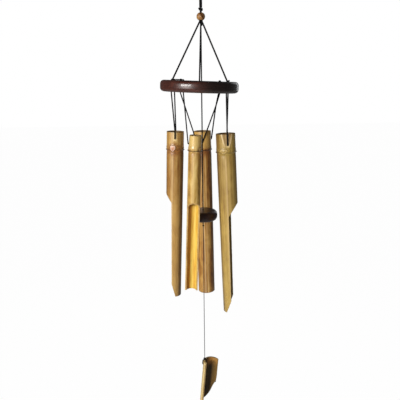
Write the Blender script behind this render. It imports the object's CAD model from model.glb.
"""Bamboo wind chime: four tubes slung from a wooden ring, with a clapper and a wind catcher.

The inside of the cord loop's top is at the origin and everything hangs below it, along -z.
+x is to the right, -y is the front, towards the camera. Azimuths run in degrees from +x
towards +y. Sizes are in millimetres; meshes become metres as they are placed.
"""
import math

import bmesh
import bpy
import numpy as np
from mathutils import Matrix, Quaternion, Vector


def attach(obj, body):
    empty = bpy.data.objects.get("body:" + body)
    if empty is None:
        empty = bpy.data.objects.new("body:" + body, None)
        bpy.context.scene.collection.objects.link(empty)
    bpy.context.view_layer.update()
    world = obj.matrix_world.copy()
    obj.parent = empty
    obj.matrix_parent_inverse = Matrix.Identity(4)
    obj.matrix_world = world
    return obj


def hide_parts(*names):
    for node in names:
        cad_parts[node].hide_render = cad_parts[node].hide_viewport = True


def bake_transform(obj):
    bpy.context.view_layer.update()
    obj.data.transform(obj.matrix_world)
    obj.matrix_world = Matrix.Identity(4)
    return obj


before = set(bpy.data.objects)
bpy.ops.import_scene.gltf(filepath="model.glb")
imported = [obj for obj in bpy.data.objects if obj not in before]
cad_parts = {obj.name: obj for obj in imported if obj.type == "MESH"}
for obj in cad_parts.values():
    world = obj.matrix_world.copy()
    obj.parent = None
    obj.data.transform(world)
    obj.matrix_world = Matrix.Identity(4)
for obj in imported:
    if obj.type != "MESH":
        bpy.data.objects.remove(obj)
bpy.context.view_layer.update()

MM = 0.001
DEG = math.pi / 180.0

# ---------------------------------------------------------------- sizes
# Heights in these tables are measured from the ring's middle plane; level() takes them
# to the frame.
RING_DROP = 185.0
RING_OUTER_R, RING_INNER_R, RING_THICK = 63.5, 39.5, 18.0
RING_HALF = RING_THICK / 2
RING_OUTER_FILLET, RING_INNER_FILLET = 6.2, 4.0
RING_OFFSET_X, RING_TILT = -3.6, 2.5
SLING_CIRCLE_R, SLING_HOLE_R = 52.5, 1.2
SUSP_CIRCLE_R, SUSP_HOLE_R = 49.0, 1.5
SUSP_AZ = {"back": 90.0, "left": 210.0, "right": 332.0}
KNOT_BORE_R, KNOT_BORE_DEPTH = 3.4, 5.0

CORD_R, SLING_R, TAIL_R, GAP = 0.9, 0.8, 0.5, 0.1
CORD_SHOWN, SLING_SHOWN, LINE_SHOWN = 1.36, 1.18, 1.08     # outside of the twisted plies
LOOP_STRAND_GAP, LOOP_TOP_R, KNOT_TOP = 2.1, 5.0, 120.6
SUSP_KNOT_R, STOP_KNOT_R, TIE_KNOT_R, TAIL_KNOT_R = 2.35, 2.8, 1.9, 2.0

BEAD_R, BEAD_HALF_HEIGHT, BEAD_BORE_R, BEAD_Z = 6.75, 6.4, 2.85, 106.6
BUNDLE_R = 1.85              # circle of the suspension cords inside the bead
CLAPPER_R, CLAPPER_THICK, CLAPPER_TOP = 24.4, 15.5, -207.9
CLAPPER_BORE_R, CLAPPER_ROUNDING, CLAPPER_DOME = 1.45, 6.4, 0.35

DIAPHRAGM = 3.5              # thickness of the wall inside a tube's node
TUBE_HOLE_R = 1.25
STAND_OFF = SLING_R + 0.12   # sling's centre line to the tube's skin

# top, foot: centres of the ends        node: its depth below the mouth
# cut_az: direction of the cut face     shoulder: depths where the cut starts and ends
# face: distance of the cut face from the axis, at the shoulder and at the foot
# slant: (depth where the face turns, its distance from the axis at the foot)
# holes: two (azimuth, depth)           ring_az, ring_gap: the pair of sling holes in the ring
TUBES = {
    "left": dict(
        top=(-45.7, 30.0, -74.6), foot=(-57.2, 30.6, -376.2), top_radius=15.0,
        foot_radius=14.6, wall=3.0, node=30.6, cut_az=180.0, shoulder=(108.6, 123.6),
        face=(4.8, 2.3), slant=(277.0, -4.6), holes=((270.0, 11.0), (90.0, 11.0)),
        ring_az=147.4, ring_gap=9.4),
    "front": dict(
        top=(-11.1, -44.0, -73.4), foot=(-21.8, -45.4, -335.6), top_radius=10.6,
        foot_radius=10.8, wall=2.6, node=24.2, cut_az=270.0, shoulder=(107.4, 118.0),
        face=(-0.6, -0.6), slant=None, holes=((200.0, 13.4), (100.0, 13.4)),
        ring_az=239.6, ring_gap=5.3),
    "right": dict(
        top=(37.0, -30.0, -72.9), foot=(49.2, -30.6, -379.0), top_radius=15.0,
        foot_radius=14.8, wall=3.0, node=29.0, cut_az=349.5, shoulder=(114.2, 135.0),
        face=(1.9, 0.2), slant=(285.0, -7.9), holes=((277.0, 17.2), (78.0, 17.2)),
        ring_az=326.5, ring_gap=5.3),
    "back": dict(
        top=(1.2, 44.0, -75.9), foot=(5.9, 45.6, -376.2), top_radius=14.3,
        foot_radius=14.6, wall=3.0, node=32.6, cut_az=90.0, shoulder=(110.0, 127.0),
        face=(1.5, 0.5), slant=None, holes=((264.0, 19.0), (10.0, 14.4)),
        ring_az=49.2, ring_gap=2.6),
}

# phases: of the cane's unevenness       bud: a raised scar beside the node
# swell: added all round                 bulge: (amount, azimuth), added on one side
# mouth: (amount, azimuth) drawn in at the mouth
# groove: above the node, "half_width" less "narrow" for each millimetre of depth
SHAPES = {
    "left": dict(
        phases=(0.4, 1.9, 0.8, 2.2), swell=-0.2, bulge=None, mouth=None, groove=None,
        bud=dict(az=256.0, depth=27.8, half_width=4.9, half_height=5.5, rise=0.8)),
    "front": dict(
        phases=(2.1, 0.3, 1.7, 0.5), swell=0.0, bulge=None, mouth=(1.6, 180.0), groove=None,
        bud=dict(az=318.0, depth=21.8, half_width=2.8, half_height=3.0, rise=0.5)),
    "right": dict(
        phases=(3.3, 0.9, 2.9, 1.4), swell=0.45, bulge=None, mouth=None,
        groove=dict(az=274.0, half_width=8.6, narrow=0.24, depth=1.25),
        bud=dict(az=252.0, depth=26.8, half_width=4.8, half_height=3.4, rise=0.55)),
    "back": dict(
        phases=(5.0, 2.6, 0.2, 3.1), swell=0.45, bulge=(0.45, 180.0), mouth=None, groove=None,
        bud=dict(az=60.0, depth=29.6, half_width=4.2, half_height=4.6, rise=0.6)),
}

# Wind catcher: half a cane, its lower end cut along a curve
SAIL_TOP, SAIL_BOTTOM, SAIL_KNOT_Z = -499.8, -588.0, -494.6
SAIL_LENGTH = SAIL_TOP - SAIL_BOTTOM
SAIL_R, SAIL_WALL, SAIL_PAST_HALF = 15.6, 3.4, 0.8
SAIL_TURN, SAIL_LEAN, SAIL_AXIS_X = 36.0, 5.0, 13.0
SAIL_HOLE_R, SAIL_HOLE_DROP, SAIL_HOLE_AZ = 1.5, 7.5, 232.0
EYE_R = 0.6
# (distance across the sail, height of its lower edge above the lowest point)
SAIL_CORNER = [(-16.6, 30.0), (-15.6, 14.0), (-14.2, 7.0), (-12.2, 2.6)]    # straight runs
SAIL_CURVE = [
    (-9.0, 0.0), (-2.9, 1.2), (4.1, 5.6), (9.0, 14.8), (11.7, 26.0),
    (13.6, 37.0), (15.0, 48.0), (16.0, 62.0), (16.6, 80.0)]
CURVE_STEPS = 25             # points for each span of the curve


def level(z):
    return z - RING_DROP


def polar(radius, azimuth, z=0.0):
    return Vector((radius * math.cos(azimuth * DEG), radius * math.sin(azimuth * DEG), z))


RING_MATRIX = (Matrix.Translation((RING_OFFSET_X, 0, level(0)))
               @ Matrix.Rotation(RING_TILT * DEG, 4, "Y"))
SAIL_MATRIX = (Matrix.Translation((SAIL_AXIS_X, 0, level(SAIL_TOP)))
               @ Matrix.Rotation(SAIL_LEAN * DEG, 4, "Y")
               @ Matrix.Rotation((270.0 + SAIL_TURN) * DEG, 4, "Z"))


def on_ring(x, y, z):
    return RING_MATRIX @ Vector((x, y, z))


# ---------------------------------------------------------------- shader helpers
def srgb(*channels):
    """A linear colour from red, green and blue out of 255."""
    def linear(channel):
        channel /= 255.0
        return channel / 12.92 if channel <= 0.04045 else ((channel + 0.055) / 1.055) ** 2.4
    return tuple(linear(channel) for channel in channels) + (1.0,)


def darker(colour, share):
    return tuple(channel * share for channel in colour[:3]) + (1.0,)


class Wire:
    """A shader output. Arithmetic on it adds Math nodes."""

    def __init__(self, tree, socket):
        self.tree = tree
        self.socket = socket

    def __add__(self, other):
        return self.tree.math("ADD", self, other)

    def __radd__(self, other):
        return self.tree.math("ADD", other, self)

    def __sub__(self, other):
        return self.tree.math("SUBTRACT", self, other)

    def __rsub__(self, other):
        return self.tree.math("SUBTRACT", other, self)

    def __mul__(self, other):
        return self.tree.math("MULTIPLY", self, other)

    def __truediv__(self, other):
        return self.tree.math("DIVIDE", self, other)

    def __abs__(self):
        return self.tree.math("ABSOLUTE", self)

    def peak(self, width):
        """exp(-(value / width)^2): 1 at zero, falling away on both sides."""
        share = self / width
        return self.tree.math("EXPONENT", share * share * -1.0)

    def fade(self, start, end, low=0.0, high=1.0):
        """low before start, high past end, smooth between; start may be the larger."""
        node = self.tree.node("ShaderNodeMapRange", interpolation_type="SMOOTHSTEP")
        values = {"Value": self, "From Min": start, "From Max": end,
                  "To Min": low, "To Max": high}
        for name, value in values.items():
            self.tree.put(node.inputs[name], value)
        return Wire(self.tree, node.outputs[0])


class Tree:
    """Writes a material round one Principled node; colour holds the base colour so far."""

    INPUTS = dict(roughness="Roughness", coat="Coat Weight", coat_roughness="Coat Roughness",
                  specular="Specular IOR Level", sheen="Sheen Weight",
                  sheen_roughness="Sheen Roughness")

    def __init__(self, name):
        self.material = bpy.data.materials.new(name)
        self.material.use_nodes = True
        self.nodes = self.material.node_tree.nodes
        self.links = self.material.node_tree.links
        self.nodes.clear()
        self.output = self.node("ShaderNodeOutputMaterial")
        self.principled = self.node("ShaderNodeBsdfPrincipled")
        self.links.new(self.principled.outputs[0], self.output.inputs[0])
        self.colour = None

    def node(self, kind, **settings):
        node = self.nodes.new(kind)
        for name, value in settings.items():
            setattr(node, name, value)
        return node

    def put(self, socket, value):
        if isinstance(value, Wire):
            self.links.new(value.socket, socket)
        else:
            socket.default_value = value

    def math(self, operation, *values):
        node = self.node("ShaderNodeMath", operation=operation)
        for socket, value in zip(node.inputs, values):
            self.put(socket, value)
        return Wire(self, node.outputs[0])

    def vector(self, *values):
        node = self.node("ShaderNodeCombineXYZ")
        for socket, value in zip(node.inputs, values):
            self.put(socket, value)
        return Wire(self, node.outputs[0])

    def attribute(self, name, output="Vector"):
        return Wire(self, self.node("ShaderNodeAttribute", attribute_name=name).outputs[output])

    def split(self, vector):
        node = self.node("ShaderNodeSeparateXYZ")
        self.put(node.inputs[0], vector)
        return [Wire(self, output) for output in node.outputs]

    def stretched(self, vector, factors):
        node = self.node("ShaderNodeMapping")
        self.put(node.inputs["Vector"], vector)
        node.inputs["Scale"].default_value = factors
        return Wire(self, node.outputs[0])

    def noise(self, vector, stretch=None, detail=3.0, rough=0.55, warp=0.0, scale=1.0):
        """Noise; stretch gives its cycles per millimetre along x, y and z."""
        if stretch:
            vector = self.stretched(vector, stretch)
        node = self.node("ShaderNodeTexNoise")
        values = {"Vector": vector, "Scale": scale, "Detail": detail,
                  "Roughness": rough, "Distortion": warp}
        for name, value in values.items():
            self.put(node.inputs[name], value)
        return Wire(self, node.outputs[0])

    def ramp(self, factor, *stops):
        """Starts the colour from (position, colour) stops."""
        node = self.node("ShaderNodeValToRGB")
        self.put(node.inputs[0], factor)
        elements = node.color_ramp.elements
        while len(elements) < len(stops):
            elements.new(0.5)
        for element, (position, colour) in zip(elements, stops):
            element.position = position
            element.color = colour
        self.colour = Wire(self, node.outputs[0])

    def tint(self, colour, where, amount=None):
        """Mixes a colour over the colour so far."""
        node = self.node("ShaderNodeMix", data_type="RGBA")
        self.put(node.inputs[0], where if amount is None else where * amount)
        self.put(node.inputs[6], self.colour)
        self.put(node.inputs[7], colour)
        self.colour = Wire(self, node.outputs[2])

    def finish(self, height=None, bump=None, distance=None, **values):
        """Connects the colour, the surface values and the bump; returns the material."""
        self.put(self.principled.inputs["Base Color"], self.colour)
        for name, value in values.items():
            self.put(self.principled.inputs[self.INPUTS[name]], value)
        if height is not None:
            node = self.node("ShaderNodeBump")
            node.inputs["Strength"].default_value = bump
            node.inputs["Distance"].default_value = distance
            self.put(node.inputs["Height"], height)
            self.links.new(node.outputs[0], self.principled.inputs["Normal"])
        return self.material


# ---------------------------------------------------------------- bamboo materials
# dark, mid, light: skin tones          node: tint at the node
# mottle: strength of the blotches      seed: moves the noise, and sets the sawn face's wobble
# shade: darkening of the inside        cup: lightening above the node
# drift: (darkening below the node, lightening further down)
# node_front: strength of the node's thin line on the front
# hole_mark: light wear and a dark groove at the first hole
# streaks: (azimuth, width, strength)
# flanks: (azimuth, facing where it starts, where it is full, strength, tint, first and last depth)
# scar: the bud's colours; patch is the stain's half size about it
LOOKS = {
    "left": dict(
        dark=srgb(132, 84, 38), mid=srgb(184, 136, 68), light=srgb(216, 176, 104),
        node=srgb(158, 104, 52), mottle=0.7, seed=3.1, shade=0.45, cup=0.30,
        drift=(0.22, 0.42), node_front=0.22, hole_mark=True, streaks=((257.0, 1.5, 0.38),),
        flanks=((350.0, 0.66, 0.98, 0.72, srgb(66, 42, 22), 24.0, 400.0),),
        scar=dict(depth=27.8, half_width=4.8, half_height=5.3, patch=(13.0, 12.2),
                  patch_shift=2.6, patch_drop=1.9, patch_mix=0.8, core_mix=0.95,
                  stain=srgb(164, 106, 50), core=srgb(228, 170, 138),
                  rim=srgb(255, 226, 204))),
    "front": dict(
        dark=srgb(150, 104, 44), mid=srgb(206, 162, 80), light=srgb(238, 206, 130),
        node=srgb(170, 120, 60), mottle=0.8, seed=9.7, shade=0.0, cup=0.55,
        drift=None, node_front=0.75, hole_mark=False, streaks=((262.0, 2.2, 0.30),),
        flanks=((350.0, 0.80, 1.0, 0.45, srgb(84, 58, 28), 22.0, 400.0),),
        scar=dict(depth=21.8, half_width=2.6, half_height=2.8, patch=(6.0, 5.0),
                  patch_shift=0.0, patch_drop=0.0, patch_mix=0.5, core_mix=0.95,
                  stain=srgb(128, 82, 40), core=srgb(206, 168, 104),
                  rim=srgb(232, 202, 142))),
    "right": dict(
        dark=srgb(136, 98, 44), mid=srgb(180, 146, 70), light=srgb(208, 176, 98),
        node=srgb(166, 134, 64), mottle=0.75, seed=17.3, shade=0.72, cup=0.0,
        drift=(0.16, 0.40), node_front=0.35, hole_mark=True,
        streaks=((262.0, 1.3, 0.55), (281.0, 2.4, 0.12)),
        flanks=((190.0, 0.45, 0.95, 0.52, srgb(100, 68, 34), -10.0, 130.0),
                (190.0, 0.86, 1.0, 0.5, srgb(80, 54, 28), 20.0, 400.0)),
        scar=dict(depth=27.2, half_width=6.4, half_height=3.6, patch=(15.0, 7.4),
                  patch_shift=3.0, patch_drop=0.0, patch_mix=0.62, core_mix=0.45,
                  stain=srgb(190, 158, 78), core=srgb(190, 156, 86),
                  rim=srgb(214, 186, 120))),
    "back": dict(
        dark=srgb(108, 64, 28), mid=srgb(168, 114, 50), light=srgb(210, 166, 90),
        node=srgb(128, 72, 36), mottle=0.4, seed=28.9, shade=0.35, cup=1.0,
        drift=None, node_front=1.0, hole_mark=False,
        streaks=((263.5, 0.9, 0.75), (282.0, 0.8, 0.5)),
        flanks=((352.0, 0.72, 0.98, 0.35, srgb(70, 42, 26), 24.0, 400.0),),
        scar=dict(depth=29.6, half_width=4.2, half_height=4.4, patch=(9.0, 7.0),
                  patch_shift=0.0, patch_drop=0.0, patch_mix=0.6, core_mix=0.95,
                  stain=srgb(110, 62, 34), core=srgb(186, 136, 84),
                  rim=srgb(222, 182, 128))),
}


class Skin(Tree):
    """The outside of a tube. 'loc' holds x, y and the depth below the mouth."""

    def __init__(self, tube):
        super().__init__("bamboo_skin_" + tube.name)
        self.tube = tube
        self.look = look = tube.look
        self.loc = self.attribute("loc")
        self.x, self.y, self.depth = self.split(self.loc)
        self.shifted = self.vector(self.x + look["seed"], self.y + look["seed"] * 0.7,
                                   self.depth)
        self.fine = self.noise(self.shifted, (1.5, 1.5, 0.035), detail=4, rough=0.6)
        self.speck = self.noise(self.shifted, (0.55, 0.55, 0.42), rough=0.7)
        self.radius = self.math("SQRT", self.x * self.x + self.y * self.y)
        self.rough = 0.36 + (self.fine - 0.5) * 0.25

    def direction(self, azimuth):
        angle = (azimuth - self.tube.cut_az) * DEG
        return math.cos(angle), math.sin(angle)

    def side(self, azimuth):
        """Distance across from an azimuth, and a mask of the half of the tube it is on."""
        cosine, sine = self.direction(azimuth)
        across = self.x * -sine + self.y * cosine
        return across, (self.x * cosine + self.y * sine).fade(0.0, 3.0)

    def facing(self, azimuth):
        """1 on the line at an azimuth, falling to 0 a quarter turn away."""
        cosine, sine = self.direction(azimuth)
        return (self.x * cosine + self.y * sine) / self.radius

    def wander(self, stretch, amount):
        return (self.noise(self.loc, stretch, detail=2) - 0.5) * amount

    def paint_ground(self):
        """Long streaks and clouds, fine fibres, and the drift of tone down the tube."""
        look, node = self.look, self.tube.node
        streak = self.noise(self.shifted, (0.30, 0.30, 0.007), rough=0.5)
        cloud = self.noise(self.shifted, (0.09, 0.09, 0.035), detail=4, rough=0.6, warp=0.6)
        tone = (streak * 0.55 + cloud * 0.45).fade(0.30, 0.68)
        self.ramp(tone, (0.0, look["dark"]), (0.42, look["mid"]), (1.0, look["light"]))
        self.tint(look["dark"], self.fine.fade(0.52, 0.74), amount=0.30)
        self.tint(look["light"], self.fine.fade(0.46, 0.28), amount=0.22)
        if look["drift"]:
            darkening, lightening = look["drift"]
            self.tint(look["dark"], self.depth.fade(node + 4.0, node + 16.0)
                      * self.depth.fade(140.0, 95.0, high=darkening))
            self.tint(look["light"], self.depth.fade(95.0, 160.0, high=lightening))
        if look["cup"]:
            self.tint(look["light"], self.depth.fade(node - 1.0, node - 7.0, high=look["cup"]))

    def paint_hole_mark(self):
        azimuth, hole = self.tube.holes[0]
        across, ahead = self.side(azimuth)
        slot = abs(across).fade(4.2, 2.6) * self.depth.fade(hole + 5.4, hole + 2.8)
        self.tint(srgb(250, 222, 160), slot * ahead, amount=0.75)
        groove = abs(across).fade(1.5, 0.9) * self.depth.fade(hole + 1.4, hole + 0.4)
        self.tint(srgb(52, 30, 14), groove * ahead, amount=0.9)

    def paint_node(self):
        """Blotches, a stained band, a light ridge above it and a thin dark line."""
        look, mottle = self.look, self.look["mottle"]
        near = (self.depth - self.tube.node).peak(width=34.0)
        self.tint(look["node"], self.speck.fade(0.56, 0.70)
                  * (near * (0.5 * mottle) + 0.12 * mottle))
        wave = self.wander((0.09, 0.09, 0.0), amount=2.4)
        past_node = self.depth - self.tube.node - wave
        ragged = self.noise(self.shifted, (0.22, 0.22, 0.16), detail=4, rough=0.65)
        self.tint(look["node"], past_node.peak(width=7.5) * ragged.fade(0.36, 0.62),
                  amount=0.75)
        below = past_node.fade(0.2, 2.0) * past_node.fade(26.0, 4.0)
        self.tint(look["node"], below, amount=0.30)
        self.tint(look["light"], (past_node + 4.0).peak(width=1.6), amount=0.35)
        broken = self.noise(self.loc, (0.5, 0.5, 0.1), detail=2)
        line = past_node.peak(width=0.85) * broken.fade(0.25, 0.45, low=0.55)
        line = line * self.facing(270.0).fade(0.45, 0.86, low=1.0, high=look["node_front"])
        self.tint(srgb(40, 20, 12), line, amount=0.92)
        flecks = self.noise(self.shifted, (0.35, 0.35, 1.6), rough=0.65, warp=0.8)
        self.tint(look["dark"], flecks.fade(0.60, 0.72), amount=0.28 * mottle)

    def paint_streaks(self):
        node = self.tube.node
        for azimuth, width, strength in self.look["streaks"]:
            across, ahead = self.side(azimuth)
            line = (across + self.wander((0.0, 0.0, 0.02), amount=2.0)).peak(width)
            mask = line * ahead * self.depth.fade(node + 3.0, node + 16.0)
            self.tint(srgb(240, 208, 150), mask, strength)

    def paint_flanks(self):
        for azimuth, start, end, strength, colour, first, last in self.look["flanks"]:
            facing = self.facing(azimuth) + self.wander((0.05, 0.05, 0.02), amount=0.16)
            span = self.depth.fade(first, first + 8.0) * self.depth.fade(last, last - 40.0)
            self.tint(colour, facing.fade(start, end) * span, strength)

    def paint_ends(self):
        lip = (self.depth + (self.speck - 0.5) * 0.8).fade(1.3, 0.2)
        self.tint(srgb(74, 46, 22), lip, amount=0.75)
        foot = (self.tube.length - self.depth).fade(2.2, 0.2)
        self.tint(srgb(92, 58, 26), foot, amount=0.55)

    def paint_scar(self):
        """Stained skin round the bud, then the bud: a rounded shield, notched at its top."""
        scar = self.look["scar"]
        across, ahead = self.side(self.tube.bud["az"])
        u = across / scar["half_width"]
        v = (scar["depth"] - self.depth) / scar["half_height"]
        patch_u = (across - scar["patch_shift"]) / scar["patch"][0]
        patch_v = (scar["depth"] + scar["patch_drop"] - self.depth) / scar["patch"][1]
        patch = self.math("SQRT", patch_u * patch_u + patch_v * patch_v)
        ragged = self.noise(self.shifted, (0.3, 0.3, 0.3), detail=4, rough=0.65)
        ragged = (ragged - 0.5) * 0.9
        mottle = self.noise(self.shifted, (0.42, 0.42, 0.42), detail=4, rough=0.7, warp=1.0)
        mottle = mottle.fade(0.50, 0.60)
        self.tint(scar["stain"], (patch + ragged).fade(1.1, 0.62) * ahead, scar["patch_mix"])
        self.tint(darker(scar["stain"], 0.38), patch.fade(1.15, 0.7) * mottle * ahead,
                  amount=0.75)

        # distance from the shield's middle: 1 is about its outline
        notch, drop, across_weight = 0.55, 0.12, 1.0
        v = v - abs(u) * notch
        reach = self.math("SQRT", u * u * across_weight + (v + drop) * (v + drop))
        reach = reach + ragged * 0.16
        inside = reach.fade(0.86, 0.74) * ahead
        rim = reach.fade(0.98, 0.86) * reach.fade(0.62, 0.76) * ahead
        self.tint(scar["core"], inside, scar["core_mix"])
        self.tint(scar["rim"], rim, amount=0.85)
        self.tint(scar["stain"], reach.peak(width=0.24) * ahead, amount=0.5)
        outline = reach.fade(1.14, 1.0) * reach.fade(0.90, 1.0) * ahead
        self.tint(srgb(108, 62, 34), outline, amount=0.65)
        self.rough = self.rough + inside * 0.2

    def paint_groove(self):
        groove, node = self.tube.groove, self.tube.node
        across, ahead = self.side(groove["az"])
        ahead = ahead * self.depth.fade(node - 6.0, node - 16.0)
        half_width = groove["half_width"] - self.depth * groove["narrow"]
        across = abs(across)
        ridge = (across - half_width).peak(width=1.1) * ahead
        valley = across.fade(half_width, half_width - 2.5) * ahead
        self.tint(srgb(142, 104, 72), valley, amount=0.58)
        self.tint(srgb(234, 206, 160), ridge, amount=0.85)


def skin_material(tube):
    skin = Skin(tube)
    skin.paint_ground()
    if tube.look["hole_mark"]:
        skin.paint_hole_mark()
    skin.paint_node()
    skin.paint_streaks()
    skin.paint_flanks()
    skin.paint_ends()
    skin.paint_scar()
    if tube.groove:
        skin.paint_groove()
    return skin.finish(skin.fine * 0.6 + skin.speck * 0.4, bump=0.35, distance=0.00025,
                       roughness=skin.rough, coat=0.35, coat_roughness=0.28, specular=0.5)


INSIDE_SHADE = srgb(52, 30, 14)


def flesh_material(tube):
    """The inside of a tube."""
    tree = Tree("bamboo_flesh_" + tube.name)
    x, y, depth = tree.split(tree.attribute("loc"))
    seed = tube.look["seed"]
    place_at = tree.vector(x + seed * 1.3, y + seed, depth)
    fibre = tree.noise(place_at, (1.3, 1.3, 0.03), detail=4, rough=0.65)
    wide = tree.noise(place_at, (0.25, 0.25, 0.012))
    tree.ramp((fibre * 0.5 + wide * 0.5).fade(0.34, 0.62),
              (0.0, srgb(206, 142, 48)), (0.45, srgb(236, 190, 70)), (1.0, srgb(248, 214, 102)))
    spots = tree.noise(place_at, (0.35, 0.35, 0.12), rough=0.6)
    tree.tint(srgb(170, 108, 44), spots.fade(0.62, 0.74), amount=0.35)
    if tube.name == "front":
        # darker along one side, and in a band at the shoulder
        tree.tint(srgb(164, 92, 20), y.fade(-1.4, -4.8, high=0.78))
        band = (depth - (tube.shoulder[0] + 2.0)).peak(width=4.2)
        tree.tint(srgb(84, 46, 18), band, amount=0.75)
    tree.tint(srgb(96, 62, 30), depth.fade(tube.node, tube.node - 1.0, high=0.78))
    if tube.look["shade"]:
        tree.tint(INSIDE_SHADE, tube.look["shade"])
    return tree.finish(fibre, bump=0.4, distance=0.0003,
                       roughness=0.55, coat=0.15, coat_roughness=0.35)


def sawn_material(tube):
    """The sawn edges of a tube, dotted with fibre ends."""
    tree = Tree("bamboo_sawn_" + tube.name)
    x, y, depth = tree.split(tree.attribute("loc"))
    seed = tube.look["seed"] + 1.5
    place_at = tree.vector(x + seed * 1.3, y + seed, depth)
    dots = tree.noise(place_at, (2.2, 2.2, 0.25), rough=0.6)
    soft = tree.noise(place_at, (0.4, 0.4, 0.05), rough=0.6)
    tree.ramp(soft.fade(0.3, 0.7), (0.0, srgb(196, 148, 78)), (1.0, srgb(236, 202, 132)))
    tree.tint(srgb(120, 76, 34), dots.fade(0.55, 0.68), amount=0.6)
    if tube.look["shade"]:
        tree.tint(INSIDE_SHADE, tube.look["shade"] * 0.6)
    return tree.finish(dots, bump=0.4, distance=0.0003,
                       roughness=0.62, coat=0.15, coat_roughness=0.35)


# ---------------------------------------------------------------- wood and cord materials
def mahogany(name, axis, scale, seed, red=1.0, contrast=1.0, coat=0.8, ring_fade=False):
    """Dark lacquered wood. axis is the way the grain runs."""
    def stretch(across, along):
        factors = [across * scale] * 3
        factors[axis] = along * scale
        return tuple(factors)

    tree = Tree(name)
    x, y, z = tree.split(tree.attribute("loc"))
    place_at = tree.vector(x + seed, y + seed * 0.6, z)
    grain = tree.noise(place_at, stretch(0.55, 0.035), detail=5, rough=0.65, warp=0.4)
    wide = tree.noise(place_at, stretch(0.10, 0.012), rough=0.5, warp=1.2)
    growth_rings = tree.math("SINE", wide * 42.0 + grain * 3.0)
    tone = (growth_rings * 0.22 + grain * 0.75).fade(0.1, 0.8)
    tree.ramp(0.55 * (1 - contrast) + tone * contrast,
              (0.0, srgb(40, 19, 15)), (0.5, srgb(70, 34, 26)), (1.0, srgb(104, 54, 40)))
    pores = tree.noise(place_at, stretch(1.8, 0.12), rough=0.6)
    tree.tint(srgb(18, 9, 8), pores.fade(0.60, 0.70), amount=0.6)
    if ring_fade:
        # near black to the right, grey at the right edge, a dark upper face
        tree.tint(srgb(21, 16, 14), x.fade(-8.0, 20.0, high=0.85))
        tree.tint(srgb(86, 86, 84), x.fade(44.0, 60.0, high=0.5))
        tree.tint(srgb(10, 7, 7), z.fade(RING_HALF - 2.6, RING_HALF - 1.0)
                  * x.fade(-44.0, -20.0, high=0.75))
    if red != 1.0:
        tree.tint(srgb(34, 24, 22), 1.0 - red)
    uneven = tree.noise(place_at, (0.25, 0.25, 0.25))
    return tree.finish(grain * 0.5 + pores * -0.5, bump=0.12, distance=0.0002,
                       roughness=0.30 + grain * 0.12, coat=coat,
                       coat_roughness=0.07 + uneven * 0.06)


def bead_material():
    """Light wood; seen from the front the grain runs down to the right."""
    tree = Tree("bead_wood")
    x, y, z = tree.split(tree.attribute("loc"))
    grain_angle = -58 * DEG
    cosine, sine = math.cos(grain_angle), math.sin(grain_angle)
    along = x * cosine + z * sine
    across = z * cosine - x * sine
    grain = tree.noise(tree.vector(along * 0.10, across * 0.9, y * 0.9),
                       detail=4, rough=0.6, warp=0.5)
    tree.ramp(grain.fade(0.3, 0.7),
              (0.0, srgb(104, 60, 28)), (0.45, srgb(158, 108, 58)), (1.0, srgb(190, 146, 90)))
    # a dark stripe on the front, and a dark right side
    edge = across + (grain - 0.5) * 1.2
    stripe = (edge - 1.7).peak(width=1.4) * y.fade(1.0, -1.0) * along.fade(5.6, 3.2)
    tree.tint(srgb(46, 14, 8), stripe, amount=0.9)
    tree.tint(srgb(60, 28, 16), x.fade(3.2, 6.6), amount=0.7)
    return tree.finish(grain, bump=0.2, distance=0.00015, roughness=0.42, specular=0.3,
                       coat=x.fade(3.0, -1.0, low=0.05, high=0.4), coat_roughness=0.18)


def cord_material(name, base, lighter, rough):
    """Twisted fibre. 'rope' holds the turn round the strand, the length and the height."""
    tree = Tree(name)
    turn, length, height = tree.split(tree.attribute("rope"))
    thread = tree.math("SINE", turn * 9.0 + length * 5.2)
    fuzz = tree.noise(tree.vector(turn * 2.0, length * 2.2, height), detail=4, rough=0.7)
    tone = thread.fade(-1.0, 1.0) * 0.45 + fuzz * 0.55
    tree.colour = base
    tree.tint(lighter, tone.fade(0.25, 0.85))
    tree.tint(darker(base, 0.35), height.fade(0.55, 0.0), amount=0.7)
    return tree.finish(thread.fade(-1.0, 1.0) + fuzz * 0.5, bump=0.5, distance=0.0001,
                       roughness=rough + (fuzz - 0.5) * 0.2, sheen=0.01,
                       sheen_roughness=0.5, specular=0.2)


OLIVE_CORD = cord_material("olive_cord", srgb(30, 26, 14), srgb(84, 76, 46), rough=0.6)
BLACK_CORD = cord_material("black_cord", srgb(7, 7, 8), srgb(20, 20, 22), rough=0.8)
THIN_CORD = cord_material("thin_cord", srgb(50, 48, 52), srgb(92, 90, 94), rough=0.7)
RING_WOOD = mahogany("ring_mahogany", axis=0, scale=1.0, seed=4.0, contrast=0.45, coat=0.26,
                     ring_fade=True)
RING_HOLE_WOOD = mahogany("ring_hole_wood", axis=2, scale=1.4, seed=9.0, red=0.5)
CLAPPER_WOOD = mahogany("clapper_mahogany", axis=1, scale=1.3, seed=31.0, red=0.40,
                        contrast=0.7, coat=0.16)
BEAD_WOOD = bead_material()


# ---------------------------------------------------------------- mesh helpers
def make_object(name, verts, faces, materials, face_materials=None):
    mesh = bpy.data.meshes.new(name)
    mesh.from_pydata([tuple(vert) for vert in np.asarray(verts, float)], [], faces)
    for material in materials:
        mesh.materials.append(material)
    if face_materials is not None:
        mesh.polygons.foreach_set("material_index", np.asarray(face_materials, np.int32))
    mesh.polygons.foreach_set("use_smooth", [True] * len(mesh.polygons))
    mesh.update()
    mesh.validate()
    ob = bpy.data.objects.new(name, mesh)
    bpy.context.scene.collection.objects.link(ob)
    return ob


def put_vector(mesh, name, values):
    attribute = mesh.attributes.new(name, "FLOAT_VECTOR", "POINT")
    attribute.data.foreach_set("vector", np.asarray(values, np.float32).ravel())


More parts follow.
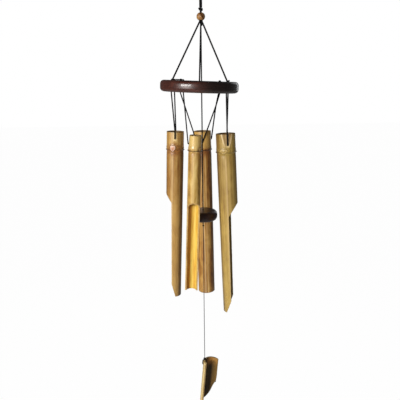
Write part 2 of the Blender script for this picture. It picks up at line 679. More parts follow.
def place(ob, matrix, z_down=False):
    """Keeps the local coordinates as 'loc' for the shaders, then moves the mesh to the
    frame, in metres. z_down stores the depth in place of z."""
    mesh = ob.data
    coords = np.zeros(len(mesh.vertices) * 3, np.float32)
    mesh.vertices.foreach_get("co", coords)
    coords = coords.reshape(-1, 3)
    if z_down:
        coords[:, 2] = -coords[:, 2]
    put_vector(mesh, "loc", coords)
    mesh.transform(Matrix.Diagonal((MM, MM, MM, 1.0)) @ matrix)
    mesh.update()


def apply_modifiers(ob):
    depsgraph = bpy.context.evaluated_depsgraph_get()
    depsgraph.update()
    mesh = bpy.data.meshes.new_from_object(ob.evaluated_get(depsgraph),
                                           preserve_all_data_layers=True, depsgraph=depsgraph)
    old = ob.data
    name = old.name
    ob.modifiers.clear()
    ob.data = mesh
    bpy.data.meshes.remove(old)
    mesh.name = name


def bevel_between(ob, width, segments):
    """Rounds every edge between faces of different materials."""
    mesh = ob.data
    kinds = {}
    for polygon in mesh.polygons:
        for key in polygon.edge_keys:
            kinds.setdefault(key, set()).add(polygon.material_index)
    weights = mesh.attributes.new("bevel_weight_edge", "FLOAT", "EDGE")
    for i, edge in enumerate(mesh.edges):
        weights.data[i].value = 1.0 if len(kinds.get(edge.key, ())) > 1 else 0.0
    bevel = ob.modifiers.new("bevel", "BEVEL")
    bevel.limit_method = "WEIGHT"
    bevel.width = width
    bevel.segments = segments
    bevel.profile = 0.6
    bevel.use_clamp_overlap = True
    bevel.material = -1
    apply_modifiers(ob)


def cylinder(start, end, radius, sides=24):
    start, end = Vector(start), Vector(end)
    turn = Vector((0, 0, 1)).rotation_difference((end - start).normalized())
    verts = []
    for centre in (start, end):
        for i in range(sides):
            angle = 2 * math.pi * i / sides
            offset = Vector((radius * math.cos(angle), radius * math.sin(angle), 0))
            verts.append(centre + turn @ offset)
    faces = []
    for i in range(sides):
        j = (i + 1) % sides
        faces.append((i, j, sides + j, sides + i))
    faces.append(tuple(range(sides))[::-1])
    faces.append(tuple(range(sides, 2 * sides)))
    return verts, faces


def drill(ob, start, end, radius, material_index):
    """Cuts a cylinder out of ob, in ob's own frame."""
    verts, faces = cylinder(start, end, radius)
    mesh = bpy.data.meshes.new("cutter")
    mesh.from_pydata([tuple(vert) for vert in verts], [], faces)
    for material in ob.data.materials:
        mesh.materials.append(material)
    mesh.polygons.foreach_set("material_index", [material_index] * len(mesh.polygons))
    mesh.polygons.foreach_set("use_smooth", [True] * len(mesh.polygons))
    mesh.update()
    cutter = bpy.data.objects.new("cutter", mesh)
    bpy.context.scene.collection.objects.link(cutter)
    boolean = ob.modifiers.new("cut", "BOOLEAN")
    boolean.operation = "DIFFERENCE"
    boolean.solver = "EXACT"
    boolean.object = cutter
    boolean.material_mode = "INDEX"
    apply_modifiers(ob)
    bpy.data.objects.remove(cutter)
    bpy.data.meshes.remove(mesh)


def sharp_by_angle(ob, degrees):
    ob.data.polygons.foreach_set("use_smooth", [True] * len(ob.data.polygons))
    ob.data.set_sharp_from_angle(angle=degrees * DEG)


def outward_normals(ob):
    edit = bmesh.new()
    edit.from_mesh(ob.data)
    bmesh.ops.recalc_face_normals(edit, faces=edit.faces)
    edit.to_mesh(ob.data)
    edit.free()


def turned_object(name, profile, segments, materials):
    """Revolves a closed list of (radius, z) about z."""
    verts, faces = [], []
    for radius, z in profile:
        for i in range(segments):
            angle = 2 * math.pi * i / segments
            verts.append((radius * math.cos(angle), radius * math.sin(angle), z))
    count = len(profile)
    for k in range(count):
        row, following = k * segments, (k + 1) % count * segments
        for i in range(segments):
            j = (i + 1) % segments
            faces.append((row + i, row + j, following + j, following + i))
    ob = make_object(name, verts, faces, materials)
    outward_normals(ob)
    return ob


def smooth_step(x):
    x = np.clip(x, 0, 1)
    return x * x * (3 - 2 * x)


def fit(ob, piece):
    """Stands in for a CAD piece and moves with it."""
    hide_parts(piece)
    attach(ob, piece)


def blend_on_axis(ob, start, end):
    """Hands ob over from one piece to the next between two heights on the z axis."""
    start * MM
    end * MM
    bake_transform(ob)


# ---------------------------------------------------------------- cord helpers
def resample(points, step):
    """Evenly spaced points along a line through points."""
    path = np.array([tuple(point) for point in points], float)
    spans = np.linalg.norm(np.diff(path, axis=0), axis=1)
    path = path[np.concatenate([[True], spans > 1e-6])]
    spans = np.linalg.norm(np.diff(path, axis=0), axis=1)
    travelled = np.concatenate([[0], np.cumsum(spans)])
    count = max(4, int(math.ceil(travelled[-1] / step)) + 1)
    stations = np.linspace(0, travelled[-1], count)
    return np.stack([np.interp(stations, travelled, path[:, k]) for k in range(3)], axis=1)


def rounded_path(points, corner, step):
    """Straight runs with rounded bends. corner is one size, or a list with one per point."""
    points = [Vector(point) for point in points]
    path = [points[0]]
    for i in range(1, len(points) - 1):
        before, bend, after = points[i - 1:i + 2]
        size = corner[i] if isinstance(corner, list) else corner
        back, ahead = before - bend, after - bend
        reach = min(size, back.length * 0.48, ahead.length * 0.48)
        start = bend + back.normalized() * reach
        end = bend + ahead.normalized() * reach
        for k in range(9):
            share = k / 8.0
            path.append(start.lerp(bend, share).lerp(bend.lerp(end, share), share))
    path.append(points[-1])
    return resample(path, step)


PLIES, LAY = 3, 0.10         # strands in a cord; share of the radius their valleys take


def rope_mesh(path, radius, pitch=4.6, around=12, phase=0.0, taper=True):
    """Vertices, faces and the (turn, length, height) of a twisted cord along path."""
    count = len(path)
    tangents = np.gradient(path, axis=0)
    tangents /= np.linalg.norm(tangents, axis=1)[:, None]
    reference = np.array([0.31, 0.95, 0.05])
    if abs(tangents[0] @ reference) > 0.9:
        reference = np.array([1.0, 0, 0])
    normals = np.zeros_like(tangents)
    normals[0] = reference - (reference @ tangents[0]) * tangents[0]
    normals[0] /= np.linalg.norm(normals[0])
    for i in range(1, count):
        carried = normals[i - 1] - (normals[i - 1] @ tangents[i]) * tangents[i]
        normals[i] = carried / np.linalg.norm(carried)
    sideways = np.cross(tangents, normals)
    spans = np.linalg.norm(np.diff(path, axis=0), axis=1)
    travelled = np.concatenate([[0], np.cumsum(spans)])

    ends = np.ones(count)
    if taper:
        for i in range(count):
            share = min(travelled[i], travelled[-1] - travelled[i]) / (radius * 0.9)
            if share < 1:
                ends[i] = math.sqrt(max(0.0, 1 - (1 - share) ** 2)) * 0.85 + 0.15

    angles = np.arange(around) * 2 * math.pi / around
    verts, info, faces = [], [], []
    for i in range(count):
        twist = 2 * math.pi * travelled[i] / pitch + phase
        lobe = np.abs(np.cos(PLIES / 2.0 * (angles - twist))) ** 0.8
        radii = radius * (1.0 - LAY + LAY * lobe) * ends[i]
        verts.append(path[i] + (np.cos(angles) * radii)[:, None] * normals[i]
                     + (np.sin(angles) * radii)[:, None] * sideways[i])
        info.append(np.stack([angles - twist, np.full(around, travelled[i]), lobe], axis=1))
    for i in range(count - 1):
        row, following = i * around, (i + 1) * around
        for j in range(around):
            k = (j + 1) % around
            faces.append((row + j, row + k, following + k, following + j))
    faces.append(tuple(range(around))[::-1])
    faces.append(tuple(range((count - 1) * around, count * around)))
    return np.concatenate(verts), faces, np.concatenate(info)


def rope(points, radius, corner=1.6, step=0.45, **options):
    return rope_mesh(rounded_path(points, corner, step), radius, **options)


def knot_parts(centre, cord_radius, size, squash, turn, lean):
    """A tightened overhand knot: a strand that crosses itself three times, and its core."""
    angle = np.linspace(0, 2 * math.pi, 150, endpoint=False)
    angle = np.concatenate([angle, [2 * math.pi]])
    scale = (size - cord_radius) / 3.0
    strand = np.stack([
        (np.sin(angle) + 2 * np.sin(2 * angle)) * scale,
        (np.cos(angle) - 2 * np.cos(2 * angle)) * scale * squash,
        -np.sin(3 * angle) * max(cord_radius * 0.95, scale * 0.7)], axis=1)
    rotation = np.array(Matrix.Rotation(turn * DEG, 3, "Z") @ Matrix.Rotation(lean * DEG, 3, "X"))
    centre = np.array(tuple(centre))
    strand = resample(strand @ rotation.T + centre, 0.4)

    verts, faces = [], []
    rows, columns = 10, 16
    radius = size - cord_radius * 1.35
    for i in range(rows + 1):
        polar_angle = math.pi * i / rows
        for j in range(columns):
            around = 2 * math.pi * j / columns
            ripple = 1 + 0.06 * math.sin(3 * around + 2 * polar_angle)
            verts.append((
                radius * ripple * math.sin(polar_angle) * math.cos(around),
                radius * ripple * squash * math.sin(polar_angle) * math.sin(around),
                0.72 * radius * math.cos(polar_angle)))
    for i in range(rows):
        row, following = i * columns, (i + 1) * columns
        for j in range(columns):
            k = (j + 1) % columns
            faces.append((row + j, following + j, following + k, row + k))
    verts = np.array(verts) @ rotation.T + centre
    info = np.stack([np.zeros(len(verts)), verts[:, 2], np.full(len(verts), 0.3)], axis=1)
    return [rope_mesh(strand, cord_radius, taper=False), (verts, faces, info)]


def cord_object(name, parts, material=BLACK_CORD):
    """Joins (vertices, faces, info) parts into one object."""
    faces, start = [], 0
    for part_verts, part_faces, _ in parts:
        faces += [tuple(index + start for index in face) for face in part_faces]
        start += len(part_verts)
    verts = np.concatenate([part[0] for part in parts])
    ob = make_object(name, verts * MM, faces, [material])
    put_vector(ob.data, "rope", np.concatenate([part[2] for part in parts]))
    return ob


# ---------------------------------------------------------------- tubes
FACE_STEPS = 26              # half the columns on the cut side
WALL_STEPS = 58              # columns on the rest of the tube
SKIN, FLESH, SAWN = 0, 1, 2  # material slots
SHOULDER_SHARES = [0.14, 0.28, 0.42, 0.56, 0.70, 0.84, 0.94, 1.0]


def wrap(angle):
    return (angle + math.pi) % (2 * math.pi) - math.pi


def stations(start, stop, step):
    rows = []
    while start < stop:
        rows.append(start)
        start += step
    return rows


class Tube:
    """A bamboo tube: whole at the top, cut to a C section below the shoulder. In its own
    frame the mouth's centre is at 0, -z runs down the axis and +x to the cut face."""

    def __init__(self, name, top, foot, **sizes):
        self.name = name
        vars(self).update(sizes)
        self.look = LOOKS[name]
        self.top = Vector((top[0], top[1], level(top[2])))
        axis = Vector((foot[0], foot[1], level(foot[2]))) - self.top
        self.length = axis.length
        self.lean = Vector((0, 0, -1)).rotation_difference(axis.normalized())
        spin = Quaternion((0, 0, 1), self.cut_az * DEG)
        self.matrix = (Matrix.Translation(self.top)
                       @ (self.lean @ spin).to_matrix().to_4x4())
        self.verts, self.faces, self.kinds = [], [], []

    def hole(self, which):
        """Where the sling's centre line meets a hole, in the frame."""
        azimuth, depth = self.holes[which]
        return self.top + self.lean @ polar(self.nominal(depth) + STAND_OFF, azimuth, -depth)

    def ring_holes(self):
        """The pair of sling holes in the ring's frame, front one first."""
        centre = polar(SLING_CIRCLE_R, self.ring_az)
        offset = polar(self.ring_gap / 2, self.ring_az - 90.0)
        return sorted((centre - offset, centre + offset), key=lambda point: point.y)

    # radii
    def nominal(self, depth):
        return self.top_radius + (self.foot_radius - self.top_radius) * depth / self.length

    def outer_radius(self, angle, depth):
        azimuth = angle + self.cut_az * DEG
        first, second, third, fourth = self.phases
        bud = self.bud
        off_bud = wrap(azimuth - bud["az"] * DEG)

        # the node's ridge, a fainter one above it and the hollows beside them
        node = self.node + 0.55 * np.sin(azimuth + first) + 0.35 * np.sin(2 * azimuth + second)
        node = node + 1.1 * np.exp(-(off_bud / 0.32) ** 2)
        past = depth - node
        radius = self.nominal(depth)
        radius = radius + 1.45 * np.exp(-np.abs(past / 0.80) ** 2.4)
        radius = (radius + 0.42 * np.exp(-((past + 4.0) / 2.3) ** 2)
                  - 0.22 * np.exp(-((past - 3.4) / 2.6) ** 2))
        radius = radius - 0.14 * np.exp(-((past + 1.5) / 0.6) ** 2)

        # not quite round
        radius = (radius + 0.13 * np.cos(2 * (azimuth - third))
                  + 0.05 * np.cos(3 * (azimuth - fourth) + depth * 0.012)
                  + 0.05 * np.sin(depth * 0.045 + first + 2 * azimuth))
        radius = radius + self.swell
        if self.bulge:
            amount, toward = self.bulge
            radius = radius + amount * np.cos(azimuth - toward * DEG)
        if self.mouth:
            pull, toward = self.mouth
            radius = radius - (pull * np.clip(1 - depth / (self.node - 3.0), 0, 1) ** 0.8
                               * np.clip(np.cos(azimuth - toward * DEG), 0, 1) ** 1.5)

        # the raised bud, with a ring pressed into it
        across = off_bud * self.top_radius
        reach = np.sqrt((across / bud["half_width"]) ** 2
                        + ((depth - bud["depth"]) / bud["half_height"]) ** 2)
        radius = (radius + bud["rise"] * (1 - smooth_step((reach - 0.55) / 0.75))
                  - 0.25 * np.exp(-((reach - 0.42) / 0.14) ** 2) * (reach < 0.9))
        if self.groove:
            groove = self.groove
            across = np.abs(wrap(azimuth - groove["az"] * DEG) * self.top_radius)
            half_width = groove["half_width"] - groove["narrow"] * depth
            fade = 1 - smooth_step((depth - (self.node - 14)) / 9.0)
            radius = (radius
                      - groove["depth"] * fade * (1 - smooth_step(across / half_width))
                      + 0.3 * fade * np.exp(-((across - half_width) / 1.3) ** 2))
        return radius

    def inner_radius(self, angle, depth):
        azimuth = angle + self.cut_az * DEG
        return (self.nominal(depth) - self.wall + 0.10 * np.sin(azimuth * 2 + self.phases[1])
                + 0.06 * np.sin(depth * 0.06 + 3 * azimuth))

    # the cut
    def face_x(self, depth):
        """Distance of the cut face from the axis, below the shoulder."""
        upper, lower = self.face
        end = self.shoulder[1]

        def straight(at):
            return upper + (lower - upper) * (at - end) / (self.length - end)
        if self.slant and depth > self.slant[0]:
            turn, foot_x = self.slant
            turn_x = straight(turn)
            return turn_x + (foot_x - turn_x) * (depth - turn) / (self.length - turn)
        return straight(depth)

    def shoulder_depths(self, angles, wall):
        """Depth of each column where it meets the slope of the shoulder."""
        start, end = self.shoulder
        start_radius = self.nominal(start)
        depths = np.full(len(angles), end, float)
        for k in range(1, 2 * FACE_STEPS):
            depth = end
            for _ in range(3):
                radius = self.nominal(depth) - wall
                depth = start + ((start_radius - radius * math.cos(angles[k]))
                                 / (start_radius - self.face[0]) * (end - start))
            depths[k] = min(depth, end)
        return depths

    # mesh parts; each ring is a list of vertex numbers
    def add_ring(self, angles, radii, depths):
        first = len(self.verts)
        for angle, radius, depth in zip(angles, radii, depths):
            self.verts.append((radius * math.cos(angle), radius * math.sin(angle), -depth))
        return list(range(first, len(self.verts)))

    def outer_ring(self, angles, depth):
        depths = np.full(len(angles), depth, float)
        return self.add_ring(angles, self.outer_radius(angles, depths), depths)

    def inner_ring(self, angles, depth, inset=0.0, share=1.0):
        depths = np.full(len(angles), depth, float)
        radii = (self.inner_radius(angles, depths) - inset) * share
        return self.add_ring(angles, radii, depths)

    def centre(self, depth):
        self.verts.append((0, 0, -depth))
        return len(self.verts) - 1

    def add_face(self, face, kind, flip):
        self.faces.append(face[::-1] if flip else face)
        self.kinds.append(kind)

    def strip(self, first, second, kind, closed=False, flip=False):
        count = len(first)
        for i in range(count if closed else count - 1):
            j = (i + 1) % count
            self.add_face((first[i], first[j], second[j], second[i]), kind, flip)

    def strips(self, rings, kind, flip=False):
        for first, second in zip(rings, rings[1:]):
            self.strip(first, second, kind, closed=True, flip=flip)

    def fan(self, centre, ring, flip=False):
        for i in range(len(ring)):
            self.add_face((centre, ring[(i + 1) % len(ring)], ring[i]), FLESH, flip)

    def build_upper(self):
        """The whole part; returns the outer and inner rings along the shoulder."""
        node, (start, end) = self.node, self.shoulder
        outer_angles = column_angles(self.face[0], self.nominal(end))
        inner_angles = column_angles(self.face[0], self.nominal(end) - self.wall)
        outer_ends = self.shoulder_depths(outer_angles, 0.0)
        inner_ends = self.shoulder_depths(inner_angles, self.wall)

        depths = ([0.0, 0.5, 1.2] + stations(3.2, node - 9, 2.0)
                  + stations(node - 8.5, node + 6, 0.5) + stations(node + 7, start - 14, 3.2))
        last = depths[-1]
        depths += [last + (outer_ends - last) * share for share in SHOULDER_SHARES]
        outer = [self.outer_ring(outer_angles, depth) for depth in depths]
        self.strips(outer, SKIN)

        # the cup above the node: (depth, inset, share of the radius)
        ceiling = node - DIAPHRAGM / 2
        rows = [(depth, 0.0, 1.0) for depth in
                (0.0, 0.5, 1.5, 4.0, 9.0, 15.0, node - 8.0, ceiling - 2.4)]
        rows += [(ceiling - 0.9, 0.35, 1.0), (ceiling, 1.4, 1.0)]
        rows += [(ceiling + 0.5 * (1 - share), 1.4, share) for share in (0.66, 0.33)]
        cup = [self.inner_ring(inner_angles, *row) for row in rows]
        self.strips(cup, FLESH, flip=True)
        self.fan(self.centre(ceiling + 0.5), cup[-1], flip=True)
        self.strip(outer[0], cup[0], SAWN, closed=True, flip=True)

        # the hollow below the node
        floor = node + DIAPHRAGM / 2
        middle = self.centre(floor - 0.5)
        rows = [(floor - 0.5 * (1 - share), 1.4, share) for share in (0.33, 0.66)]
        rows += [(floor, 1.4), (floor + 0.9, 0.35)]
        depths = stations(floor + 2.4, start - 14, 6.0)
        last = depths[-1]
        depths += [last + (inner_ends - last) * share for share in SHOULDER_SHARES]
        rows += [(depth,) for depth in depths]
        hollow = [self.inner_ring(inner_angles, *row) for row in rows]
        self.fan(middle, hollow[0])
        self.strips(hollow, FLESH, flip=True)
        return outer[-1], hollow[-1]

    def build_lower(self, outer_shoulder, inner_shoulder):
        """The shoulder's sawn face and the C section down to the foot."""
        seam = 2 * FACE_STEPS
        self.strip(outer_shoulder[:seam + 1], inner_shoulder[:seam + 1], SAWN)
        depths = []
        start = self.shoulder[1]
        for mark in ([self.slant[0]] if self.slant else []) + [self.length]:
            count = max(1, int(round((mark - start) / 3.4)))
            depths += [start + (mark - start) * i / count for i in range(1, count + 1)]
            start = mark
        outer_above = outer_shoulder[seam:] + outer_shoulder[:1]
        inner_above = inner_shoulder[seam:] + inner_shoulder[:1]
        random = np.random.RandomState(int(self.look["seed"] * 10))
        wobble = random.normal(0, 0.06, len(depths) + 1)
        for k, depth in enumerate(depths):
            at_foot = k == len(depths) - 1
            x = self.face_x(depth) + (0.0 if at_foot else wobble[k])
            outer_angles = wall_angles(x, self.nominal(depth))
            inner_angles = wall_angles(x, self.nominal(depth) - self.wall)
            outer_depth = depth
            if at_foot:
                outer_depth = depth + 0.12 * np.sin(outer_angles * 3 + self.phases[0])
            outer = self.outer_ring(outer_angles, outer_depth)
            # the foot's ripple is the outer edge's own, carried across to the inner edge
            inner = self.inner_ring(inner_angles, outer_depth)
            self.strip(outer_above, outer, SKIN)
            self.strip(inner_above, inner, FLESH, flip=True)
            self.strip((outer_above[0], inner_above[0]), (outer[0], inner[0]), SAWN, flip=True)
            self.strip((outer_above[-1], inner_above[-1]), (outer[-1], inner[-1]), SAWN)
            outer_above, inner_above = outer, inner
        self.strip(outer_above, inner_above, SAWN)

    def build(self):
        self.build_lower(*self.build_upper())
        materials = [skin_material(self), flesh_material(self), sawn_material(self)]
        ob = make_object("bamboo_tube_" + self.name, self.verts, self.faces, materials,
                         self.kinds)
        outward_normals(ob)
        bevel_between(ob, width=0.32, segments=2)
        to_local = self.matrix.inverted()
        start, end = to_local @ self.hole(0), to_local @ self.hole(1)
        overshoot = (end - start).normalized() * 3.0
        drill(ob, start - overshoot, end + overshoot, TUBE_HOLE_R, SAWN)
        sharp_by_angle(ob, 42)
        place(ob, self.matrix, z_down=True)
        fit(ob, "tube_" + self.name)


def cut_angle(x, radius):
    """Half the angle a plane at x takes out of a circle."""
    return math.acos(max(-0.98, min(0.98, x / radius)))


def wall_angles(x, radius):
    half = cut_angle(x, radius)
    return np.array([half + (2 * math.pi - 2 * half) * j / WALL_STEPS
                     for j in range(WALL_STEPS + 1)])


def column_angles(x, radius):
    half = cut_angle(x, radius)
    face = [-half + half * m / FACE_STEPS for m in range(2 * FACE_STEPS + 1)]
    return np.concatenate([face, wall_angles(x, radius)[1:-1]])


ALL_TUBES = [Tube(name, **sizes, **SHAPES[name]) for name, sizes in TUBES.items()]


# ---------------------------------------------------------------- ring, clapper and bead
def ring_profile():
    half, outer_fillet, inner_fillet = RING_HALF, RING_OUTER_FILLET, RING_INNER_FILLET
    outer_x = RING_OUTER_R - outer_fillet
    inner_x = RING_INNER_R + inner_fillet
    points = []

    def arc(x, z, radius, start, end, steps):
        for k in range(steps + 1):
            angle = (start + (end - start) * k / steps) * DEG
            points.append((x + radius * math.cos(angle), z + radius * math.sin(angle)))

    arc(outer_x, -half + outer_fillet, outer_fillet, -90, 0, 10)
    for k in range(1, 4):
        z = (-half + outer_fillet) + (2 * (half - outer_fillet)) * k / 4
        points.append((RING_OUTER_R + 0.05 * math.sin(math.pi * k / 4), z))
    arc(outer_x, half - outer_fillet, outer_fillet, 0, 90, 10)
    for k in range(1, 5):
        points.append((outer_x + (inner_x - outer_x) * k / 5, half))
    arc(inner_x, half - inner_fillet, inner_fillet, 90, 180, 8)
    for k in range(1, 4):
        z = (half - inner_fillet) - (2 * (half - inner_fillet)) * k / 4
        points.append((RING_INNER_R, z))
    arc(inner_x, -half + inner_fillet, inner_fillet, 180, 270, 8)
    for k in range(1, 5):
        points.append((inner_x + (outer_x - inner_x) * k / 5, -half))
    return points


def build_ring():
    ring = turned_object("wooden_ring", ring_profile(), 220, [RING_WOOD, RING_HOLE_WOOD])
    bore_top = -RING_HALF + KNOT_BORE_DEPTH

    def drill_down(point, low, high, radius):
        drill(ring, (point.x, point.y, low), (point.x, point.y, high), radius, 1)

    # a cord hole, and a wider bore from below that takes its knot
    for azimuth in SUSP_AZ.values():
        point = polar(SUSP_CIRCLE_R, azimuth)
        drill_down(point, bore_top - 0.5, RING_HALF + 1, SUSP_HOLE_R)
        drill_down(point, -RING_HALF - 1, bore_top, KNOT_BORE_R)
    for tube in ALL_TUBES:
        for point in tube.ring_holes():
            drill_down(point, -RING_HALF - 1, RING_HALF + 1, SLING_HOLE_R)
    sharp_by_angle(ring, 40)
    place(ring, RING_MATRIX)
    fit(ring, "ring")


def clapper_profile():
    """A disc with a rounded rim and slightly domed faces."""
    radius, half = CLAPPER_R + 0.1, (CLAPPER_THICK + 1.2) / 2
    bore, rounding, dome = CLAPPER_BORE_R, CLAPPER_ROUNDING, CLAPPER_DOME
    rim_power = 2 / 2.25
    flat = radius - rounding - bore
    points = []
    for k in range(9):
        share = k / 9.0
        points.append((bore + flat * share, -half - dome * 0.6 * (1 - share * share)))
    for k in range(25):
        angle = (-90 + 180 * k / 24) * DEG
        cosine, sine = math.cos(angle), math.sin(angle)
        points.append((radius - rounding + rounding * abs(cosine) ** rim_power,
                       half * math.copysign(abs(sine) ** rim_power, sine)))
    for k in range(8, 0, -1):
        share = k / 9.0
        points.append((bore + flat * share, half + dome * (1 - share * share)))
    points.append((bore, half + dome - 0.25))
    return points


def build_clapper():
    clapper = turned_object("wooden_clapper", clapper_profile(), 140, [CLAPPER_WOOD])
    sharp_by_angle(clapper, 50)
    place(clapper, Matrix.Translation((0, 0, level(CLAPPER_TOP - CLAPPER_THICK / 2))))
    fit(clapper, "clapper")


def bead_profile():
    points = []
    for k in range(41):
        angle = (-90 + 180 * k / 40) * DEG
        radius, z = BEAD_R * math.cos(angle), BEAD_HALF_HEIGHT * math.sin(angle)
        if radius > BEAD_BORE_R + 0.25:
            points.append((radius, z))
    rim = points[-1][1]

    def lip(degrees):
        """Radius and drop of the rounding where the bore meets the outside."""
        return (BEAD_BORE_R + 0.3 * (1 - math.sin(degrees * DEG)),
                0.35 * (1 - math.cos(degrees * DEG)))

    for degrees in (35, 65, 90):
        radius, drop = lip(degrees)
        points.append((radius, rim + 0.05 - drop))
    for k in range(1, 6):
        points.append((BEAD_BORE_R, (rim - 0.3) * (1 - k / 3.0)))
    for degrees in (90, 65, 35):
        radius, drop = lip(degrees)
        points.append((radius, -rim - 0.05 + drop))
    return points


def build_bead():
    bead = turned_object("wooden_bead", bead_profile(), 72, [BEAD_WOOD])
    place(bead, Matrix.Translation((0, 0, level(BEAD_Z))))
    fit(bead, "bead")


# ---------------------------------------------------------------- cords, from the top down
LOOP_KNOT_Z = level(KNOT_TOP)
BEAD_TOP_Z = level(BEAD_Z + BEAD_HALF_HEIGHT)
BEAD_FOOT_Z = level(BEAD_Z - BEAD_HALF_HEIGHT)
FAN_TOP_Z = BEAD_FOOT_Z - 0.25 - CORD_R          # where the suspension cords spread
STOP_KNOT_Z = level(CLAPPER_TOP - CLAPPER_THICK) - 0.06 - STOP_KNOT_R
LINE_FOOT_Z = STOP_KNOT_Z - STOP_KNOT_R - 3.0
TAIL_KNOT_Z = level(SAIL_KNOT_Z)


def build_hanging_loop():
    foot = level(KNOT_TOP + GAP) + CORD_R
    neck = level(KNOT_TOP + 15.0)
    radius = LOOP_TOP_R + CORD_R

    def side(sign):
        x = sign * LOOP_STRAND_GAP / 2
        return [(x, 0, foot - 2.6), (x, 0, foot + 1), (x, 0, neck), (sign * 3.2, 0, neck + 14),
                (sign * 5.2, 0, neck + 30), (sign * radius, 0, -LOOP_TOP_R)]

    arc = [(-radius * math.cos(math.pi * k / 12), 0,
            -LOOP_TOP_R + radius * math.sin(math.pi * k / 12)) for k in range(1, 12)]
    path = side(-1) + arc + side(1)[::-1]
    loop = cord_object("hanging_loop_cord", [rope(path, CORD_SHOWN, corner=6.0)])
    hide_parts("hanging_loop")
    blend_on_axis(loop, neck + 10, foot + 0.5)


def build_loop_knot():
    """Two lobes, and a short strand down towards the bead."""
    top = LOOP_KNOT_Z
    parts = knot_parts((-1.35, 0, top - 2.7), 0.98, 2.95, squash=0.8, turn=20, lean=52)
    parts += knot_parts((1.25, 0.1, top - 4.0), 0.98, 2.95, squash=0.85, turn=75, lean=-48)
    parts.append(rope([(-0.9, 0, top - 5.0), (0.3, 0, top - 6.6)], 1.05))
    knot = cord_object("loop_knot_cord", parts)
    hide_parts("loop_knot")
    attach(knot, "loop_knot")


def build_bead_cords():
    """Three strands into the bead, and four through it."""
    strands = []
    for azimuth in (30, 150, 270):
        point = polar(1.0, azimuth)
        strands.append(rope([(point.x, point.y, LOOP_KNOT_Z - 4.4),
                             (point.x * 1.2, point.y * 1.2, BEAD_TOP_Z - 3.0)], 0.85))
    neck = cord_object("bead_neck_cord", strands)
    blend_on_axis(neck, BEAD_TOP_Z + 1.3, BEAD_TOP_Z - 0.6)

    def through(x, y, radius):
        return rope([(x, y, BEAD_FOOT_Z + 0.2), (x, y, BEAD_TOP_Z - 0.6)], radius)

    points = [polar(BUNDLE_R, azimuth) for azimuth in SUSP_AZ.values()]
    strands = [through(point.x, point.y, CORD_R * 0.98) for point in points]
    strands.append(through(0, 0, SLING_R))
    bundle = cord_object("bead_bundle_cords", strands)
    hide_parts("cords_in_bead")
    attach(bundle, "bead")


def build_suspension():
    """Three cords from the bead to the ring, each with a knot under its hole."""
    for name, azimuth in SUSP_AZ.items():
        hole = polar(SUSP_CIRCLE_R, azimuth)
        start = polar(BUNDLE_R, azimuth)
        path = [(start.x, start.y, BEAD_FOOT_Z + 3.0), (start.x, start.y, FAN_TOP_Z + 0.4),
                on_ring(hole.x, hole.y, RING_HALF + 0.6),
                on_ring(hole.x, hole.y, -RING_HALF + KNOT_BORE_DEPTH - 2.0)]
        line = cord_object("suspension_line_" + name,
                           [rope(path, CORD_SHOWN, corner=[0, 1.2, 1.6, 0], phase=azimuth)])
        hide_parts("suspension_cord_" + name)
        blend_on_axis(line, BEAD_FOOT_Z + 0.4, FAN_TOP_Z - 5.0)
        seat = on_ring(hole.x, hole.y, -RING_HALF + KNOT_BORE_DEPTH - 0.06 - SUSP_KNOT_R)
        parts = knot_parts(seat, 0.8, SUSP_KNOT_R, squash=0.95, turn=azimuth, lean=12)
        knot = cord_object("stop_knot_" + name, parts)
        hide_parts("suspension_knot_" + name)
        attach(knot, "ring")


def build_lashing():
    """Turns of cord round the clapper's cord, just below the bead."""
    turns, height = 3.2, 4.8
    x, y, z = 0.55, -0.2, FAN_TOP_Z - 3.6
    angle = np.linspace(0, 2 * math.pi * turns, 90)
    helix = np.stack([x + 1.45 * np.cos(angle), y + 1.35 * np.sin(angle),
                      z + height / 2 - height * angle / angle[-1]], axis=1)
    lashing = cord_object("cord_lashing", [rope_mesh(resample(helix, 0.4), 0.66)])
    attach(lashing, "ring")


# Stops of each sling's two strands between the ring and the tube: the tube's rim, or a
# point (x, y, height)
SLING_WAYS = {
    "left": (["rim"], ["rim"]),
    "front": ([], ["rim"]),
    "right": (["rim"], ["rim"]),
    "back": ([(24.2, 35.4, -33.0), (7.65, 28.9, -76.0)], [(24.2, 36.8, -33.0)]),
}
RIM_CLEARANCE = {"left": 0.12, "front": 1.4, "right": 0.12}
SLING_TOP = RING_HALF + SLING_R + 0.05           # over the ring, in the ring's frame
SLING_PIVOT = -(RING_HALF + SLING_R + 0.06)      # under the ring
# Slings whose cord runs on over the ring, to the suspension hole named
CORD_RUNS = {"front": "left", "right": "right"}


